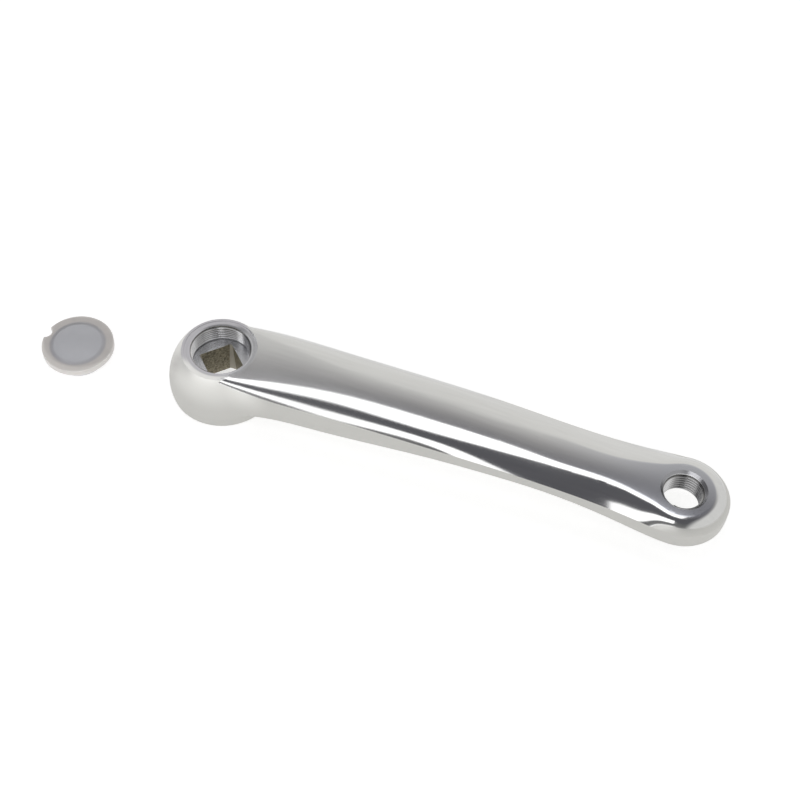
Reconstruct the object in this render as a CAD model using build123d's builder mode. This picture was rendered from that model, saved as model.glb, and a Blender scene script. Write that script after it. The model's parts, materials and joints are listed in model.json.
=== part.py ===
import math
import os

from build123d import *

# Left-hand bicycle crank arm for a square taper spindle, with its dust cap lying beside it.
# The spindle axis is Z, the boss's inner face is Z = 0 and the pedal axis lies on +X.

# Arm as a whole
crank_length = 170.0  # spindle axis to pedal axis
back_bevel = 1.0  # bevel along the edges of the back

# Boss at the spindle
boss_height = 21.5
boss_bulge_radius = 19.6  # widest, part way up
boss_bulge_height = 6.5
boss_foot_radius = 19.05
boss_foot_bevel = 0.8
boss_rim = 0.8  # land round the mouth

# Bore through the boss, from the mouth down
mouth_radius = 13.3
seat_depth = 0.2  # ledge that the dust cap's flange sits on
extractor_radius = 11.0  # M22 x 1, at the root of the thread
recess_depth = 7.2  # mouth to the small end of the square
square_width = 12.6  # across flats, at the small end
square_taper = 2.0  # degrees on each side
square_corner_radius = 8.5  # relief along the corners

# Eye at the pedal
eye_radius = 16.4
eye_back = 8.7
eye_wall = 7.0  # underside to the crease
pad_height = 19.4
pad_radius = 11.3  # flat round the thread, inside the knee
pedal_thread_radius = 7.14  # 9/16 in x 20 TPI, at the root of the thread
pedal_lead_in = 0.85  # chamfer at both ends of the thread

# Arm between them: distance along the arm, half width at the crease between wall and shoulder, half width
# of the wall part way down and at its foot, heights of crease, face and back, half width of the face,
# width of the knee that rolls the face over into the shoulder
eye_crease = eye_back + eye_wall
eye_side = eye_radius + 0.1
neck_along = 10.0  # where the walls leave the boss
neck_foot = math.sqrt(boss_bulge_radius**2 - neck_along**2)
arm_sections = [
    (0.0, 13.2, neck_foot - 0.1, neck_foot + 0.5, boss_height - 0.6, boss_height, 6.5, 11.6, 0.4),
    (neck_along, 14.4, neck_foot - 1.1, neck_foot, boss_height - 0.8, boss_height + 0.6, 7.0, 10.6, 1.5),
    (18.0, 15.0, 15.2, 15.2, boss_height - 0.8, boss_height + 1.2, 7.6, 9.1, 2.7),
    (crank_length / 4, 14.9, 15.0, 14.9, boss_height - 0.7, boss_height + 2.1, 10.4, 5.5, 4.5),
    (crank_length / 2, 14.6, 14.7, 14.6, boss_height - 1.1, boss_height + 1.8, 13.9, 4.9, 5.5),
    (crank_length - 65.0, 14.3, 14.4, 14.3, pad_height + 0.3, pad_height + 2.8, 14.2, 4.6, 4.4),
    (crank_length - 45.0, 14.0, 14.1, 14.0, pad_height - 1.1, pad_height + 1.6, 13.4, 4.5, 2.6),
    (crank_length - 20.0, 14.7, 14.8, 14.7, eye_crease + 0.9, pad_height + 0.2, 10.3, 5.0, 1.6),
    (crank_length - 10.0, 15.7, 15.8, 15.7, eye_crease + 0.3, pad_height, 9.2, 7.2, 1.6),
    (crank_length, eye_radius, eye_side, eye_radius, eye_crease, pad_height, eye_back, pad_radius, 0.7),
]
face_crown = math.radians(3.0)  # tilt of the face at its edges
knee_tilt = math.radians(14.5)  # tilt where the knee runs into the shoulder

# Dust cap, pushed into the thread when fitted
cap_clearance = 0.1  # all round, in the mouth and in the thread
cap_flange = 2.4
cap_dome_radius = 10.0
cap_dome_rise = 1.3
cap_thread_grip = 10.4  # radius of the bead, at the crests of the extractor thread
cap_bead = 0.4  # how far the bead stands out from the skirt
cap_bead_height = 2.0
cap_skirt_wall = 1.2
cap_skirt_depth = 4.4
cap_notch_radius = 2.6
cap_notch_reach = 1.9  # how far the pry notch bites into the flange
cap_notch_angle = 176.0
cap_place = (-56.1, -5.5)


# Middle of an arc on the arm's outer side that leaves its inner end at a given tilt
def arc_middle(inner, outer, inner_tilt):
    chord = Vector(*outer) - Vector(*inner)
    turn = math.atan2(-chord.Y, abs(chord.X)) - inner_tilt
    outward = Vector(-chord.Y, chord.X) if chord.X > 0 else Vector(chord.Y, -chord.X)
    middle = (Vector(*inner) + Vector(*outer)) / 2 + outward * math.tan(turn / 2) / 2
    return (middle.X, middle.Y)


pedal_axis = Axis((crank_length, 0, 0), (0, 0, 1))
square_floor = boss_height - recess_depth
square_foot_width = square_width + 2 * square_floor * math.tan(math.radians(square_taper))
above_mouth = boss_height  # room for the cutters above the mouth

with BuildPart() as crank_arm:
    for along, crease_half, wall_half, foot_half, crease, face, back, face_half, knee in arm_sections:
        foot = back + back_bevel
        wall = (crease + foot) / 2
        knee_half = face_half + knee
        knee_height = face - knee * math.tan((face_crown + knee_tilt) / 2)
        crown = face + face_half * math.tan(face_crown / 2)
        knee_middle = arc_middle((face_half, face), (knee_half, knee_height), face_crown)
        shoulder_middle = arc_middle((knee_half, knee_height), (crease_half, crease), knee_tilt)
        with BuildSketch(Plane.YZ.offset(along)) as section:
            with BuildLine():
                Polyline((0, back), (foot_half - back_bevel, back), (foot_half, foot))
                ThreePointArc((foot_half, foot), (wall_half, wall), (crease_half, crease))
                ThreePointArc((crease_half, crease), shoulder_middle, (knee_half, knee_height))
                ThreePointArc((knee_half, knee_height), knee_middle, (face_half, face))
                TangentArc((0, crown), (face_half, face), tangent=(1, 0))
                mirror(about=Plane.YZ)
            make_face()
    loft()

    # Rounded end of the eye, carrying half of the last section round the pedal axis
    with BuildSketch(Plane.YZ.offset(crank_length)):
        add(section.sketch_local)
        Rectangle(2 * eye_radius, 3 * pad_height, align=(Align.MAX, Align.CENTER), mode=Mode.SUBTRACT)
    revolve(axis=pedal_axis, revolution_arc=-180)

    # Boss, swelling below its mouth
    with BuildSketch(Plane.XZ):
        with BuildLine():
            rim = (mouth_radius + boss_rim, boss_height)
            boss_foot = (boss_foot_radius, boss_foot_bevel)
            Polyline(rim, (0, boss_height), (0, 0), (boss_foot_radius - boss_foot_bevel, 0), boss_foot)
            ThreePointArc(boss_foot, (boss_bulge_radius, boss_bulge_height), rim)
        make_face()
    revolve(axis=Axis.Z)

    # Mouth with its ledge, thread for the extractor, and the tapered square
    with BuildSketch(Plane.XY.offset(boss_height - seat_depth)):
        Circle(mouth_radius)
    extrude(amount=above_mouth, mode=Mode.SUBTRACT)
    with BuildSketch(Plane.XY.offset(square_floor)):
        Circle(extractor_radius)
    extrude(amount=above_mouth, mode=Mode.SUBTRACT)
    for height, width in ((square_floor, square_width), (0, square_foot_width)):
        with BuildSketch(Plane.XY.offset(height)):
            Rectangle(width, width, rotation=45)
            Circle(square_corner_radius, mode=Mode.INTERSECT)
    loft(ruled=True, mode=Mode.SUBTRACT)

    # Pedal thread, with a lead-in at each end
    with BuildSketch(Plane(pedal_axis.position, x_dir=(1, 0, 0), z_dir=(0, -1, 0))):
        with BuildLine():
            flare_radius = pedal_thread_radius + 2 * pedal_lead_in
            Polyline(
                (0, eye_back - pedal_lead_in),
                (flare_radius, eye_back - pedal_lead_in),
                (pedal_thread_radius, eye_back + pedal_lead_in),
                (pedal_thread_radius, pad_height - pedal_lead_in),
                (flare_radius, pad_height + pedal_lead_in),
                (0, pad_height + pedal_lead_in),
                close=True,
            )
        make_face()
    revolve(axis=pedal_axis, mode=Mode.SUBTRACT)

cap_origin = (*cap_place, 0)
cap_axis = Axis(cap_origin, (0, 0, 1))
flange_radius = mouth_radius - cap_clearance
skirt_radius = cap_thread_grip - cap_bead
skirt_bore = skirt_radius - cap_skirt_wall
flange_top = cap_skirt_depth + cap_flange

with BuildPart() as dust_cap:
    with BuildSketch(Plane(cap_origin, x_dir=(1, 0, 0), z_dir=(0, -1, 0))):
        with BuildLine():
            TangentArc((0, cap_skirt_depth + cap_dome_rise), (skirt_bore, cap_skirt_depth), tangent=(1, 0))
            Polyline(
                (skirt_bore, cap_skirt_depth),
                (skirt_bore, 0),
                (skirt_radius, 0),
                (cap_thread_grip, cap_bead_height / 2),
                (skirt_radius, cap_bead_height),
                (skirt_radius, cap_skirt_depth),
                (flange_radius, cap_skirt_depth),
                (flange_radius, flange_top),
                (cap_dome_radius, flange_top),
            )
            TangentArc((0, flange_top + cap_dome_rise), (cap_dome_radius, flange_top), tangent=(1, 0))
            Line((0, flange_top + cap_dome_rise), (0, cap_skirt_depth + cap_dome_rise))
        make_face()
    revolve(axis=cap_axis)
    with BuildSketch(Plane(cap_origin).offset(cap_skirt_depth)):
        notch_place = flange_radius + cap_notch_radius - cap_notch_reach
        with PolarLocations(notch_place, 1, start_angle=cap_notch_angle):
            Circle(cap_notch_radius)
    extrude(amount=cap_flange + cap_dome_rise, mode=Mode.SUBTRACT)

crank_arm.part.label = "crank_arm"
dust_cap.part.label = "dust_cap"
os.makedirs("parts", exist_ok=True)
export_step(crank_arm.part, "parts/crank_arm.step")
export_step(dust_cap.part, "parts/dust_cap.step")
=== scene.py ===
import bmesh
import bpy
import json
import math
from mathutils import Matrix, Vector

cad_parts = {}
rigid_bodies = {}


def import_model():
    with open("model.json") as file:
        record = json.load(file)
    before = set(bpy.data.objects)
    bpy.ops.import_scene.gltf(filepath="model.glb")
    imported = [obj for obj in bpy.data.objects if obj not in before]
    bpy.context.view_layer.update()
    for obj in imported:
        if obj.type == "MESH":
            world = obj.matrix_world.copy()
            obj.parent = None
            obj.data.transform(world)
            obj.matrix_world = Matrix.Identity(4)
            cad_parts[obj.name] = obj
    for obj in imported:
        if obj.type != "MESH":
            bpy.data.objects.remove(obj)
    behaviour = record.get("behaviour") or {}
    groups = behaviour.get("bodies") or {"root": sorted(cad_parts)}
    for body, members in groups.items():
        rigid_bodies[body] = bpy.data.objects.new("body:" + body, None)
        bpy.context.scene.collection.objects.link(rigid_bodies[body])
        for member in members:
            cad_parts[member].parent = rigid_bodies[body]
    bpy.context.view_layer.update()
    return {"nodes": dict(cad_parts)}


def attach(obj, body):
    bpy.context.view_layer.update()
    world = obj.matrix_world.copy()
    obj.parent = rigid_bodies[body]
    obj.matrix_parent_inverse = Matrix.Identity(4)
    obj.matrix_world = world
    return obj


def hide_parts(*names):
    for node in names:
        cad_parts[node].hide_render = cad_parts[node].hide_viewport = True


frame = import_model()
print("frame loaded:", sorted(frame["nodes"]))

mm = 0.001
scene = bpy.context.scene
scene.view_settings.view_transform = "Standard"

photoCamera = {
    "aim": (0.06585, 0.00714, 0.01275),  # point on the optical axis, beside the arm's middle
    "azimuth": 16.35,
    "elevation": 53.17,
    "roll": -3.24,
    "distance": 0.50138,
    "focalPixels": 1400.0,
    "imagePixels": 800.0,
    "sensor": 36.0,
    "clipStart": 0.01,
}


def addCamera(c):
    a, e, r = (math.radians(c[k]) for k in ("azimuth", "elevation", "roll"))
    back = Vector((math.sin(a) * math.cos(e), -math.cos(a) * math.cos(e), math.sin(e)))
    side = Vector((math.cos(a), math.sin(a), 0))
    up = back.cross(side)
    right = side * math.cos(r) - up * math.sin(r)
    up = side * math.sin(r) + up * math.cos(r)
    data = bpy.data.cameras.new("photoCamera")
    data.sensor_width = c["sensor"]
    data.lens = c["sensor"] * c["focalPixels"] / c["imagePixels"]
    data.clip_start = c["clipStart"]
    camera = bpy.data.objects.new("photoCamera", data)
    turn = Matrix((right, up, back)).transposed().to_4x4()
    camera.matrix_world = Matrix.Translation(Vector(c["aim"]) + back * c["distance"]) @ turn
    scene.collection.objects.link(camera)
    scene.camera = camera


addCamera(photoCamera)
print("camera placed")


class Wire:  # an output socket that can be used in sums
    def __init__(self, tree, socket):
        self.tree = tree
        self.socket = socket

    def __add__(self, other):
        return self.tree.maths("ADD", self, other)

    def __radd__(self, other):
        return self.tree.maths("ADD", other, self)

    def __sub__(self, other):
        return self.tree.maths("SUBTRACT", self, other)

    def __rsub__(self, other):
        return self.tree.maths("SUBTRACT", other, self)

    def __mul__(self, other):
        return self.tree.maths("MULTIPLY", self, other)

    def __rmul__(self, other):
        return self.tree.maths("MULTIPLY", other, self)

    def __pow__(self, other):
        return self.tree.maths("POWER", self, other)

    def out(self, name):
        return Wire(self.tree, self.socket.node.outputs[name])


class NodeTree:
    def __init__(self, tree):
        self.tree = tree
        tree.nodes.clear()

    def add(self, kind, settings=None, sockets=None):
        node = self.tree.nodes.new(kind)
        for key, value in (settings or {}).items():
            if key == "stops":
                self.fillRamp(node.color_ramp, value)
            else:
                setattr(node, key, value)
        for key, value in (sockets or {}).items():
            socket = node.inputs[key]
            if isinstance(value, Wire):
                self.tree.links.new(value.socket, socket)
            else:
                socket.default_value = (*value, 1.0) if socket.type == "RGBA" else value
        return Wire(self, node.outputs[0]) if node.outputs else None

    def fillRamp(self, ramp, stops):
        while len(ramp.elements) < len(stops):
            ramp.elements.new(1.0)
        for element, (place, colour) in zip(ramp.elements, stops):
            element.position = place
            element.color = (*colour, 1.0)

    def maths(self, operation, a, b):
        return self.add("ShaderNodeMath", {"operation": operation}, {0: a, 1: b})

    def length(self, x, y):
        return (x * x + y * y) ** 0.5

    def rise(self, value, low, high):  # 0 below low, 1 above high
        return self.add(
            "ShaderNodeMapRange",
            {"interpolation_type": "SMOOTHSTEP"},
            {"Value": value, "From Min": low, "From Max": high},
        )

    def fall(self, value, low, high):  # 1 below low, 0 above high
        return 1 - self.rise(value, low, high)

    def mix(self, share, a, b):  # 6, 7 and 2 are the node's colour sockets
        node = self.add("ShaderNodeMix", {"data_type": "RGBA"}, {"Factor": share, 6: a, 7: b})
        return Wire(self, node.socket.node.outputs[2])

    def tone(self, share, colour, dark, light):  # from a dark to a light shade of one colour
        return self.mix(share, [c * dark for c in colour], [c * light for c in colour])

    def noise(self, vector, scale, detail):
        return self.add("ShaderNodeTexNoise", None, {"Vector": vector, "Scale": scale, "Detail": detail})

    def place(self, letters):  # object coordinates, then those of the letters in mm
        coords = self.add("ShaderNodeTexCoord").out("Object")
        parts = self.add("ShaderNodeSeparateXYZ", None, {0: coords})
        return coords, *(parts.out(k) * (1 / mm) for k in letters)

    def surface(self, sockets):
        shader = self.add("ShaderNodeBsdfPrincipled", None, sockets)
        self.add("ShaderNodeOutputMaterial", None, {"Surface": shader})


def newMaterial(name):
    material = bpy.data.materials.new(name)
    material.use_nodes = True
    return material, NodeTree(material.node_tree)


def blend(share, a, b):  # numbers, or wires that carry numbers
    return a + (b - a) * share


skyLight = {
    "stops": [  # from the far horizon over the top to the near horizon
        (0.00, (0.74, 0.735, 0.715)),
        (0.20, (0.72, 0.715, 0.695)),
        (0.255, (0.66, 0.655, 0.64)),
        (0.285, (0.46, 0.455, 0.45)),
        (0.305, (0.32, 0.315, 0.315)),
        (0.325, (0.225, 0.222, 0.23)),
        (0.345, (0.19, 0.188, 0.205)),
        (0.45, (0.10, 0.10, 0.11)),
        (0.58, (0.10, 0.10, 0.11)),
        (0.70, (0.16, 0.16, 0.16)),
        (0.82, (0.60, 0.60, 0.60)),
        (1.00, (0.85, 0.85, 0.84)),
    ],
    "horizon": (0.76, 0.757, 0.74),
    "horizonFade": (0.12, 0.45),
    "leftCard": (0.22, 0.22, 0.22),  # darkens the boss's left side
    "leftFade": (-0.97, -0.72),
    "rightCard": (0.70, 0.70, 0.69),  # lights the end of the eye
    "rightFade": (0.28, 0.50),
}


def addSky(s):
    world = bpy.data.worlds.new("studioSky")
    scene.world = world
    world.use_nodes = True
    tree = NodeTree(world.node_tree)
    direction = tree.add("ShaderNodeTexCoord").out("Generated")
    parts = tree.add("ShaderNodeSeparateXYZ", None, {0: direction})
    x, y, z = (parts.out(k) for k in "XYZ")
    angle = tree.maths("ARCTAN2", z, y) * (1 / math.pi)
    overhead = tree.add("ShaderNodeValToRGB", {"stops": s["stops"]}, {"Fac": angle})
    colour = tree.mix(tree.rise(z, *s["horizonFade"]), s["horizon"], overhead)
    colour = tree.mix(tree.rise(x, *s["leftFade"]), s["leftCard"], colour)
    colour = tree.mix(tree.rise(x, *s["rightFade"]), colour, s["rightCard"])
    background = tree.add("ShaderNodeBackground", None, {"Color": colour})
    tree.add("ShaderNodeOutputWorld", None, {"Surface": background})


stripLights = {
    "strips": [  # angle over the arm from the far horizon, angle across, ends along the arm, radiance
        ("farStrip", 73.3, 20.0, -0.80, 0.285, 1.45),
        ("nearStrip", 112.0, 16.0, -0.80, 0.17, 1.3),
        ("sideCard", 142.0, 18.0, -0.95, 0.20, 1.4),
    ],
    "distance": 1.0,
    "aim": (0.0, 0.02),  # line along the arm that the strips face
}


def addStrips(s):
    for name, angle, across, left, right, radiance in s["strips"]:
        a = math.radians(angle)
        width = 2 * s["distance"] * math.tan(math.radians(across / 2))
        lamp = bpy.data.lights.new(name, "AREA")
        lamp.shape = "RECTANGLE"
        lamp.size = right - left
        lamp.size_y = width
        lamp.energy = radiance * math.pi * lamp.size * width
        strip = bpy.data.objects.new(name, lamp)
        away = Vector((0, math.cos(a), math.sin(a)))
        along = Vector((1, 0, 0))
        turn = Matrix((along, away.cross(along), away)).transposed().to_4x4()
        aim = Vector(((left + right) / 2, *s["aim"]))
        strip.matrix_world = Matrix.Translation(aim + away * s["distance"]) @ turn
        scene.collection.objects.link(strip)


paleFloor = {
    "size": 24.0,
    "drop": 0.0002,  # keeps it just clear of the part
    "tone": (0.60, 0.60, 0.60),
    "roughness": 0.9,
    "specular": 0.0,
    "glow": (1.0, 1.0, 1.0),
    "mirroredGlow": (0.60, 0.60, 0.59),  # as the metal sees it
    "glowStrength": 0.67,
}


def addFloor(f):
    mesh = bpy.data.meshes.new("floor")
    bm = bmesh.new()
    bmesh.ops.create_grid(bm, x_segments=1, y_segments=1, size=f["size"] / 2)
    bmesh.ops.translate(bm, verts=bm.verts, vec=(0, 0, -f["drop"]))
    bm.to_mesh(mesh)
    bm.free()
    floor = bpy.data.objects.new("floor", mesh)
    scene.collection.objects.link(floor)
    material, tree = newMaterial("paleFloor")
    mirrored = tree.add("ShaderNodeLightPath").out("Is Glossy Ray")
    tree.surface(
        {
            "Base Color": f["tone"],
            "Roughness": f["roughness"],
            "Specular IOR Level": f["specular"],
            "Emission Color": tree.mix(mirrored, f["glow"], f["mirroredGlow"]),
            "Emission Strength": f["glowStrength"],
        }
    )
    mesh.materials.append(material)


addSky(skyLight)
addStrips(stripLights)
addFloor(paleFloor)
print("studio lit")


alloy = {  # lengths in mm, colours with their darkest and lightest shades
    "crankLength": 170.0,
    "soft": 0.05,  # half the width of a plain border between two finishes
    # forged sides, and a painted highlight that makes the boss brighter towards its mouth
    "satin": ((0.70, 0.695, 0.672), 0.95, 1.04),
    "satinRoughness": 0.42,
    "speckleRoughness": 0.08,
    # painted highlight: lighter colour for the boss's upper part
    "paintedHighlight": (0.97, 0.965, 0.94),
    "paintedHighlightHeight": (9.0, 22.0),
    "paintedHighlightEnd": (14.0, 26.0),
    # polished top, a little duller towards the boss
    "polished": ((0.82, 0.82, 0.815), 0.95, 1.05),
    "polishedFacing": (0.755, 0.80),
    "polishedRoughness": 0.09,
    "grainRoughness": 0.03,
    "bossRoughness": 0.05,
    "bossEnd": (20.0, 100.0),
    # pad, faced by the pedal tool, so a little bluer and duller
    "pad": ((0.61, 0.62, 0.66), 0.97, 1.02),
    "padRoughness": 0.15,
    "padAlong": (110.0, 168.0),
    "padFacing": (0.988, 0.997),
    # turned bores
    "machined": ((0.78, 0.785, 0.80), 0.66, 1.22),
    "machinedRoughness": 0.24,
    "ringRoughness": 0.1,
    "mouthRadius": 13.35,
    "mouthHeight": 21.48,
    "boreRadius": 8.25,
    "boreFacing": 0.85,
    # painted shade: the pedal bore's lead-in darker at its back
    "paintedLeadInShade": (0.40, 0.40, 0.42),
    "leadInRadius": (7.15, 7.25),
    "leadInBack": (-3.0, 1.0),
    # ring round the mouth, with painted shade at its right and back and a painted highlight at its near
    # edge
    "seatHeight": (21.2, 21.25),
    "seatEnd": (3.0, 9.0),
    "landRadius": 14.15,
    "seatLight": ((0.64, 0.63, 0.655), 0.85, 1.12),
    "seatShade": ((0.30, 0.30, 0.315), 0.5, 1.4),
    "seatRoughness": 0.46,
    "rightLean": 0.3,
    "rightShade": (3.0, 9.0),
    "rightRadius": (12.0, 13.2),
    "backLean": 0.2,
    "backShade": (2.0, 7.0),
    "backRadius": (11.45, 11.95),
    "nearRadius": (11.9, 12.7),
    "nearEdge": (-11.0, -7.0),
    # square socket with its drilled corners, still rough and stained
    "socketTop": 14.2,
    "socket": ((0.31, 0.28, 0.205), 0.5, 1.6),
    "socketStain": (0.3, 0.7),
    "socketRoughness": 0.6,
    "socketMetal": 0.35,
    "corner": ((0.56, 0.53, 0.46), 0.8, 1.2),
    "cornerRadius": 8.36,
    # scale and detail of each noise, then how high each stands
    "grainStretch": (60.0, 900.0, 900.0),
    "grainNoise": (1.0, 3.0),
    "speckleNoise": (2600.0, 2.0),
    "blotchNoise": (1500.0, 4.0),
    "cloudNoise": (45.0, 2.0),
    "ringNoise": (2.4, 3.0),
    "speckleRelief": 0.6,
    "grainRelief": 0.1,
    "ringRelief": 1.6,
    "blotchRelief": 2.5,
    "reliefStrength": 0.15,
    "reliefDepth": 0.1,
}


def alloyMaterial(a):
    material, tree = newMaterial("polishedAlloy")
    coords, x, y, z = tree.place("XYZ")
    normal = tree.add("ShaderNodeNewGeometry").out("Normal")
    facing = tree.add("ShaderNodeSeparateXYZ", None, {0: normal}).out("Z")

    def over(value, limit):
        return tree.rise(value, limit - a["soft"], limit + a["soft"])

    def under(value, limit):
        return 1 - over(value, limit)

    # where each finish lies
    bossRadius = tree.length(x, y)
    eyeRadius = tree.length(x - a["crankLength"], y)
    polished = tree.rise(facing, *a["polishedFacing"])
    # painted highlight: the boss lighter towards its mouth
    paintedHighlight = tree.rise(z, *a["paintedHighlightHeight"]) * tree.fall(x, *a["paintedHighlightEnd"])
    onPad = tree.rise(x, *a["padAlong"]) * tree.rise(facing, *a["padFacing"])
    inMouth = under(bossRadius, a["mouthRadius"]) * under(z, a["mouthHeight"])
    inSocket = inMouth * under(z, a["socketTop"])
    inCorner = inSocket * over(bossRadius, a["cornerRadius"])
    inBore = under(eyeRadius, a["boreRadius"]) * under(facing, a["boreFacing"])
    # painted shade on the back of the pedal bore's lead-in
    paintedLeadInShade = inBore * tree.rise(eyeRadius, *a["leadInRadius"]) * tree.rise(y, *a["leadInBack"])
    onSeat = tree.rise(z, *a["seatHeight"]) * under(bossRadius, a["landRadius"])
    onSeat = onSeat * tree.fall(x, *a["seatEnd"])
    cut = blend(onSeat, inMouth + inBore, 1)

    # marks of forging, polishing and turning
    streaks = tree.add("ShaderNodeMapping", None, {"Vector": coords, "Scale": a["grainStretch"]})
    grain = tree.noise(streaks, *a["grainNoise"])
    speckle = tree.noise(coords, *a["speckleNoise"])
    blotch = tree.noise(coords, *a["blotchNoise"])
    clouds = tree.noise(coords, *a["cloudNoise"])
    nearest = tree.maths("MINIMUM", bossRadius, eyeRadius)
    turned = tree.add("ShaderNodeCombineXYZ", None, {0: nearest, 1: z})
    rings = tree.noise(turned, *a["ringNoise"])

    # painted shade on the ring at its right and back, and a painted highlight at its near edge
    atRight = tree.rise(x + a["rightLean"] * y, *a["rightShade"]) * tree.fall(bossRadius, *a["rightRadius"])
    atBack = tree.rise(y + a["backLean"] * x, *a["backShade"]) * tree.fall(bossRadius, *a["backRadius"])
    nearEdge = tree.rise(bossRadius, *a["nearRadius"]) * tree.fall(y, *a["nearEdge"])
    seat = tree.mix(nearEdge, tree.tone(rings, *a["seatLight"]), a["paintedHighlight"])
    seat = tree.mix(blend(atBack, atRight, 1), seat, tree.tone(rings, *a["seatShade"]))
    machined = tree.mix(onSeat, tree.tone(rings, *a["machined"]), seat)
    machined = tree.mix(paintedLeadInShade, machined, a["paintedLeadInShade"])
    stain = tree.rise(blotch, *a["socketStain"])

    # painted highlight over the boss's satin
    colour = tree.mix(paintedHighlight, tree.tone(clouds, *a["satin"]), a["paintedHighlight"])
    colour = tree.mix(polished, colour, tree.tone(grain, *a["polished"]))
    colour = tree.mix(onPad, colour, tree.tone(clouds, *a["pad"]))
    colour = tree.mix(cut, colour, machined)
    colour = tree.mix(inSocket, colour, tree.tone(stain, *a["socket"]))
    colour = tree.mix(inCorner, colour, tree.tone(speckle, *a["corner"]))

    shine = a["polishedRoughness"] + a["grainRoughness"] * grain
    shine = shine + a["bossRoughness"] * tree.fall(x, *a["bossEnd"])
    shine = blend(onPad, shine, a["padRoughness"])
    dull = a["satinRoughness"] + a["speckleRoughness"] * (speckle - 0.5)  # the noises lie round 0.5
    ringed = a["machinedRoughness"] + a["ringRoughness"] * (rings - 0.5)
    roughness = blend(polished, dull, shine)
    roughness = blend(cut, roughness, ringed)
    roughness = blend(onSeat, roughness, a["seatRoughness"])
    roughness = blend(inSocket, roughness, a["socketRoughness"])

    height = blend(polished, speckle * a["speckleRelief"], grain * a["grainRelief"])
    height = blend(cut, height, rings * a["ringRelief"])
    height = blend(inSocket, height, blotch * a["blotchRelief"])
    bump = tree.add(
        "ShaderNodeBump",
        None,
        {"Strength": a["reliefStrength"], "Distance": a["reliefDepth"] * mm, "Height": height},
    )
    tree.surface(
        {
            "Base Color": colour,
            "Roughness": roughness,
            "Metallic": blend(inSocket, 1, a["socketMetal"]),
            "Normal": bump,
        }
    )
    return material


cap = {  # radii and heights in mm, colours with their darkest and lightest shades
    "place": (-56.1, -5.5),
    "dome": ((0.53, 0.535, 0.565), 0.95, 1.05),
    "rim": ((0.60, 0.575, 0.56), 0.92, 1.06),
    "rimStart": (9.3, 10.7),
    "edge": (0.44, 0.43, 0.46),  # painted shade where the dome rolls off into the rim
    "edgeShare": 0.5,
    "edgeStart": (8.4, 9.8),
    "edgeEnd": (9.8, 11.0),
    "paintedRimLight": (0.70, 0.675, 0.655),  # painted light: the rim lighter on its near side
    "lipLean": 0.25,
    "lipStart": (12.8, 14.4),
    "roll": 0.7,  # height over which the dome rolls off to the rim
    "rollOff": (8.6, 10.6),
    "cloudNoise": (220.0, 2.0),
    "roughness": 0.28,
    "cloudRoughness": 0.06,
    "milkiness": 0.7,
    "milkyDepth": 2.0,
}


def capMaterial(c):
    material, tree = newMaterial("capPlastic")
    coords, x, y = tree.place("XY")
    x, y = x - c["place"][0], y - c["place"][1]
    radius = tree.length(x, y)
    onRim = tree.rise(radius, *c["rimStart"])
    edgeShade = tree.rise(radius, *c["edgeStart"]) * tree.fall(radius, *c["edgeEnd"])
    paintedRimLightMask = tree.rise(radius - c["lipLean"] * y, *c["lipStart"])
    rollOff = tree.fall(radius, *c["rollOff"])
    clouds = tree.noise(coords, *c["cloudNoise"])
    # painted light on the rim's near side
    rim = tree.mix(paintedRimLightMask, tree.tone(clouds, *c["rim"]), c["paintedRimLight"])
    colour = tree.mix(onRim, tree.tone(clouds, *c["dome"]), rim)
    # painted shade where the dome rolls off into the rim
    colour = tree.mix(edgeShade * c["edgeShare"], colour, c["edge"])
    tree.surface(
        {
            "Base Color": colour,
            "Roughness": c["roughness"] + c["cloudRoughness"] * clouds,
            "Normal": tree.add("ShaderNodeBump", None, {"Distance": c["roll"] * mm, "Height": rollOff}),
            "Subsurface Weight": c["milkiness"],
            "Subsurface Scale": c["milkyDepth"] * mm,
            "Subsurface Radius": (1.0, 1.0, 1.0),  # alike for all colours
        }
    )
    return material


threadCut = {  # form and finish of both threads
    "rootHalf": 0.94,  # half widths, as shares of half the pitch
    "crestHalf": 0.27,
    "sharpAngle": 35.0,
    "blueness": 1.02,
    # painted shade in the thread roots
    "paintedRootShade": (0.07, 0.067, 0.062),
    "paintedRootShadeShare": 0.95,
    "rootMargin": 0.1,
    "chatterTone": (0.45, 0.44, 0.43),
    "chatterShare": 0.3,
    "chatterNoise": (1500.0, 2.0),
    "roughness": 0.16,
    "chatterRoughness": 0.12,
}
extractorThread = {
    "name": "extractorThread",
    "axis": (0.0, 0.0),
    "root": 11.03,
    "crest": 10.45,
    "pitch": 1.0,
    "bottom": 14.9,
    "turns": 5.75,
    "hand": 1,
    "stepsPerTurn": 72,
    "paintedReflections": [  # painted reflections: light and dark bands round the bore, from the left by the near side
        (0.00, 0.85),
        (0.07, 0.95),
        (0.15, 0.55),
        (0.45, 0.25),
        (0.57, 0.28),
        (0.63, 0.95),
        (0.69, 0.95),
        (0.73, 0.30),
        (0.79, 0.30),
        (0.83, 0.95),
        (0.87, 0.95),
        (0.92, 0.50),
        (0.96, 0.50),
        (1.00, 0.85),
    ],
}
pedalThread = {
    "name": "pedalThread",
    "axis": (170.0, 0.0),
    "root": 7.17,
    "crest": 6.5,
    "pitch": 1.27,
    "bottom": 9.9,
    "turns": 6.3,
    "hand": -1,
    "stepsPerTurn": 56,
    # painted reflections round the bore, from the left by the near side
    "paintedReflections": [(0.0, 0.9), (0.60, 0.30), (0.75, 0.40), (0.84, 0.35), (0.90, 0.9), (1.0, 0.9)],
}


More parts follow.
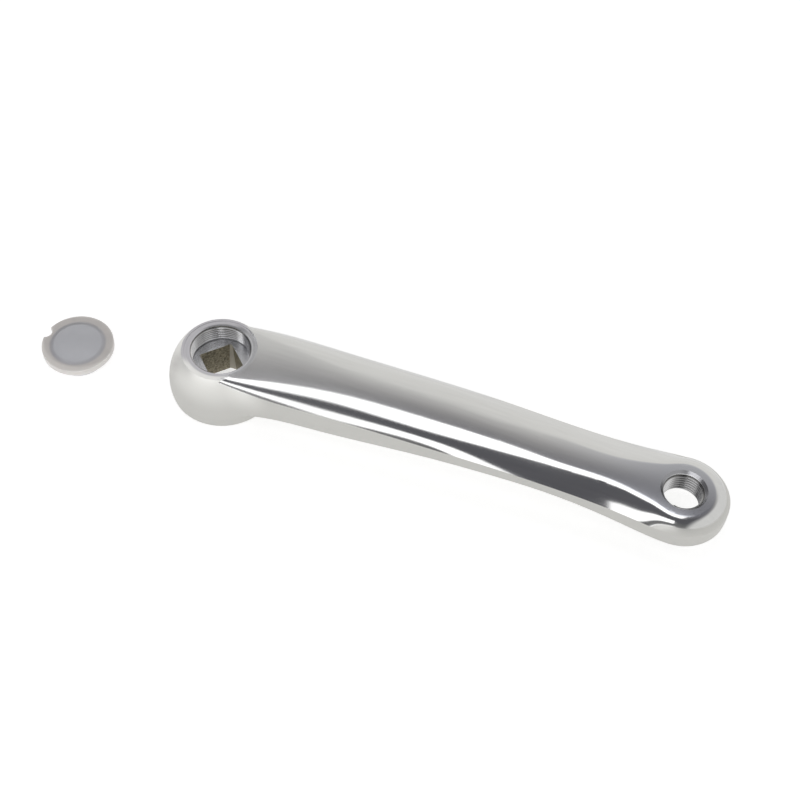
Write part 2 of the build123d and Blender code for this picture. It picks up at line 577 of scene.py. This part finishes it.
def cutMaterial(t, c):
    material, tree = newMaterial(t["name"] + "Alloy")
    coords, x, y = tree.place("XY")
    x, y = x - t["axis"][0], y - t["axis"][1]
    chatter = tree.noise(coords, *c["chatterNoise"])
    around = tree.maths("ARCTAN2", y, x) * (1 / math.tau) + 0.5  # 0 to 1
    # painted reflections: lighter and darker bands by the angle round the bore
    stops = [(place, (tone, tone, c["blueness"] * tone)) for place, tone in t["paintedReflections"]]
    colour = tree.add("ShaderNodeValToRGB", {"stops": stops}, {"Fac": around})
    root = tree.rise(tree.length(x, y), t["crest"] + c["rootMargin"], t["root"] - c["rootMargin"])
    # painted shade in the thread roots
    colour = tree.mix(root * c["paintedRootShadeShare"], colour, c["paintedRootShade"])
    colour = tree.mix(chatter * c["chatterShare"], colour, c["chatterTone"])
    tree.surface(
        {
            "Base Color": colour,
            "Roughness": c["roughness"] + c["chatterRoughness"] * chatter,
            "Metallic": 1.0,
        }
    )
    return material


def addThread(t, c):
    bm = bmesh.new()
    half = t["pitch"] / 2
    profile = [(t["root"], -c["rootHalf"] * half), (t["crest"], -c["crestHalf"] * half)]
    profile += [(r, -h) for r, h in reversed(profile)]
    x, y = t["axis"]
    corners = [bm.verts.new(((x + r) * mm, y * mm, (t["bottom"] + h) * mm)) for r, h in profile]
    edges = [bm.edges.new((corners[i - 1], corners[i])) for i in range(len(corners))]
    bmesh.ops.spin(
        bm,
        geom=corners + edges,
        cent=(x * mm, y * mm, 0),
        axis=(0, 0, t["hand"]),
        dvec=(0, 0, t["pitch"] / t["stepsPerTurn"] * mm),
        angle=math.tau * t["turns"],
        steps=round(t["turns"] * t["stepsPerTurn"]),
    )
    bmesh.ops.holes_fill(bm, edges=[e for e in bm.edges if e.is_boundary], sides=len(corners))
    bmesh.ops.recalc_face_normals(bm, faces=bm.faces)
    mesh = bpy.data.meshes.new(t["name"])
    bm.to_mesh(mesh)
    bm.free()
    mesh.shade_smooth()
    mesh.set_sharp_from_angle(angle=math.radians(c["sharpAngle"]))
    mesh.materials.append(cutMaterial(t, c))
    thread = bpy.data.objects.new(t["name"], mesh)
    scene.collection.objects.link(thread)
    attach(thread, "root")


addThread(extractorThread, threadCut)
addThread(pedalThread, threadCut)
print("threads cut")


armBody = {  # lengths in mm, angles in degrees
    "weld": 1e-6,
    "creaseAngle": 22.0,
    "cuts": 2,
    "crown": 3.0,  # tilt at the edges of the face
    "rows": [  # along, half width and height of crease, then of face, knee, tilt from knee to shoulder
        (0.0, 13.2, 20.9, 11.6, 21.5, 0.4, 14.5),
        (10.0, 14.4, 20.7, 10.6, 22.1, 1.5, 14.5),
        (18.0, 15.0, 20.7, 9.1, 22.7, 2.7, 14.5),
        (42.5, 14.9, 20.8, 5.5, 23.6, 4.5, 14.5),
        (85.0, 14.6, 20.2, 4.2, 23.3, 5.5, 14.5),
        (105.0, 14.3, 19.35, 4.0, 22.2, 4.4, 14.5),
        (125.0, 14.0, 18.3, 4.5, 21.0, 2.6, 14.5),
        (150.0, 14.7, 16.15, 5.0, 19.6, 2.3, 16.5),
        (160.0, 15.7, 16.1, 7.2, 19.4, 2.2, 16.5),
        (170.0, 16.4, 15.7, 10.4, 19.4, 1.6, 16.0),
    ],
    "steepest": 0.99,  # sine of the steepest tilt on an arc
    "reach": 0.004,  # half the span over which slopes are taken
    "topFacing": 0.5,  # faces that look up more than this take the rows' normals
    "offHeight": 1.2,  # unless they lie or lean further off than these
    "offTilt": 16.0,
    "landRadius": 14.15,  # flat ring round the mouth, left as it is
    "bossArc": [(19.05, 0.8), (19.6, 6.5), (14.1, 21.5)],  # foot, bulge and rim of the boss
    "neck": (3.0, 22.0),  # where the boss's side flows into the arm's wall
    "neckHalf": 12.9,
    "neckFacing": 0.72,
    "neckOffTilt": 30.0,
}


def armRow(a, x):  # the section at x, flowing smoothly from row to row
    rows = a["rows"]
    x = min(max(x, rows[0][0]), rows[-1][0])
    i = next(k for k in range(len(rows) - 1) if x <= rows[k + 1][0])
    span = rows[i + 1][0] - rows[i][0]
    s = (x - rows[i][0]) / span

    def slope(k, n):
        if k in (0, len(rows) - 1):
            return 0.0
        before, here, after = rows[k - 1], rows[k], rows[k + 1]
        h, j = here[0] - before[0], after[0] - here[0]
        return ((here[n] - before[n]) / h * j + (after[n] - here[n]) / j * h) / (h + j)

    return [
        rows[i][n] * (1 + 2 * s) * (1 - s) ** 2
        + rows[i + 1][n] * s * s * (3 - 2 * s)
        + slope(i, n) * span * s * (1 - s) ** 2
        - slope(i + 1, n) * span * s * s * (1 - s)
        for n in range(1, len(rows[0]))
    ]


def armHeight(a, x, y):
    end = a["rows"][-1][0]
    y = math.hypot(x - end, y) if x > end else abs(y)
    creaseHalf, crease, faceHalf, face, knee, kneeTilt = armRow(a, x)
    crown, kneeTilt = math.radians(a["crown"]), math.radians(kneeTilt)

    def arcDrop(across, width, tiltIn, tiltOut):  # fall of an arc from its inner end
        radius = width / (math.sin(tiltOut) - math.sin(tiltIn))
        tilt = math.asin(min(math.sin(tiltIn) + across / radius, a["steepest"]))
        return radius * (math.cos(tiltIn) - math.cos(tilt))

    if y <= faceHalf:
        top = face + faceHalf * math.tan(crown / 2)
        return top - arcDrop(y, faceHalf, 0.0, crown)
    if y <= faceHalf + knee:
        return face - arcDrop(y - faceHalf, knee, crown, kneeTilt)
    start = face - knee * math.tan((crown + kneeTilt) / 2)
    width = creaseHalf - faceHalf - knee
    endTilt = 2 * math.atan2(start - crease, width) - kneeTilt
    return start - arcDrop(y - faceHalf - knee, width, kneeTilt, endTilt)


def armNormal(a, x, y):
    r = a["reach"]
    alongSlope = (armHeight(a, x + r, y) - armHeight(a, x - r, y)) / (2 * r)
    acrossSlope = (armHeight(a, x, y + r) - armHeight(a, x, y - r)) / (2 * r)
    return Vector((-alongSlope, -acrossSlope, 1.0)).normalized()


def arcCentre(points):
    (r1, z1), (r2, z2), (r3, z3) = points
    a, b = r2 - r1, z2 - z1
    c, d = r3 - r1, z3 - z1
    e = a * (r1 + r2) + b * (z1 + z2)
    f = c * (r1 + r3) + d * (z1 + z3)
    g = 2 * (a * d - b * c)
    return Vector(((d * e - b * f) / g, (a * f - c * e) / g))


def neckNormal(a, x, y, z):  # turns from the boss's side into the arm's wall
    middle = arcCentre(a["bossArc"])
    radius = math.hypot(x, y)
    out = radius - middle.x
    boss = Vector((x / radius * out, y / radius * out, z - middle.y)).normalized()
    wall = Vector((0, math.copysign(1.0, y), 0))
    start, end = a["neck"]
    s = min(max((x - start) / (end - start), 0), 1)
    return boss.lerp(wall, s * s * (3 - 2 * s)).normalized()


def fairNormals(a, bm):  # one for each face corner, zero where the mesh's own is kept
    topLimit = math.cos(math.radians(a["offTilt"]))
    neckLimit = math.cos(math.radians(a["neckOffTilt"]))
    top = {}
    normals = []
    for face in bm.faces:
        for corner in face.loops:
            vert = corner.vert
            x, y, z = vert.co / mm
            normal = Vector()
            onSide = abs(face.normal.z) < a["neckFacing"]
            if onSide and 0 < x < a["neck"][1] and abs(y) > a["neckHalf"]:
                side = neckNormal(a, x, y, z)
                if side.dot(face.normal) > neckLimit:
                    normal = side
            elif face.normal.z > a["topFacing"] and x > 0 and math.hypot(x, y) > a["landRadius"]:
                if vert not in top:
                    near = abs(armHeight(a, x, y) - z) < a["offHeight"]
                    top[vert] = armNormal(a, x, y) if near else None
                if top[vert] and top[vert].dot(face.normal) > topLimit:
                    normal = top[vert]
            normals.append(normal)
    print("fair normals:", sum(n.length > 0 for n in normals), "of", len(normals))
    return normals


def nodeObject(name):
    return next(o for o in bpy.data.objects if o.name.split(".")[0] == name)


def addArmBody(a, material):
    bm = bmesh.new()
    bm.from_mesh(nodeObject("crank_arm").data)
    bmesh.ops.remove_doubles(bm, verts=bm.verts, dist=a["weld"])
    bm.normal_update()
    crease = math.radians(a["creaseAngle"])
    for edge in bm.edges:
        edge.smooth = len(edge.link_faces) == 2 and edge.calc_face_angle() < crease
    bmesh.ops.subdivide_edges(bm, edges=bm.edges, cuts=a["cuts"], use_grid_fill=True)
    bmesh.ops.triangulate(bm, faces=bm.faces)
    bm.normal_update()
    for face in bm.faces:
        face.smooth = True
    normals = fairNormals(a, bm)
    mesh = bpy.data.meshes.new("armBody")
    bm.to_mesh(mesh)
    bm.free()
    mesh.normals_split_custom_set(normals)
    mesh.materials.clear()
    mesh.materials.append(material)
    body = bpy.data.objects.new("armBody", mesh)
    scene.collection.objects.link(body)
    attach(body, "root")
    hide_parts("crank_arm")


addArmBody(armBody, alloyMaterial(alloy))
nodeObject("dust_cap").material_slots[0].material = capMaterial(cap)
print("finishes made")
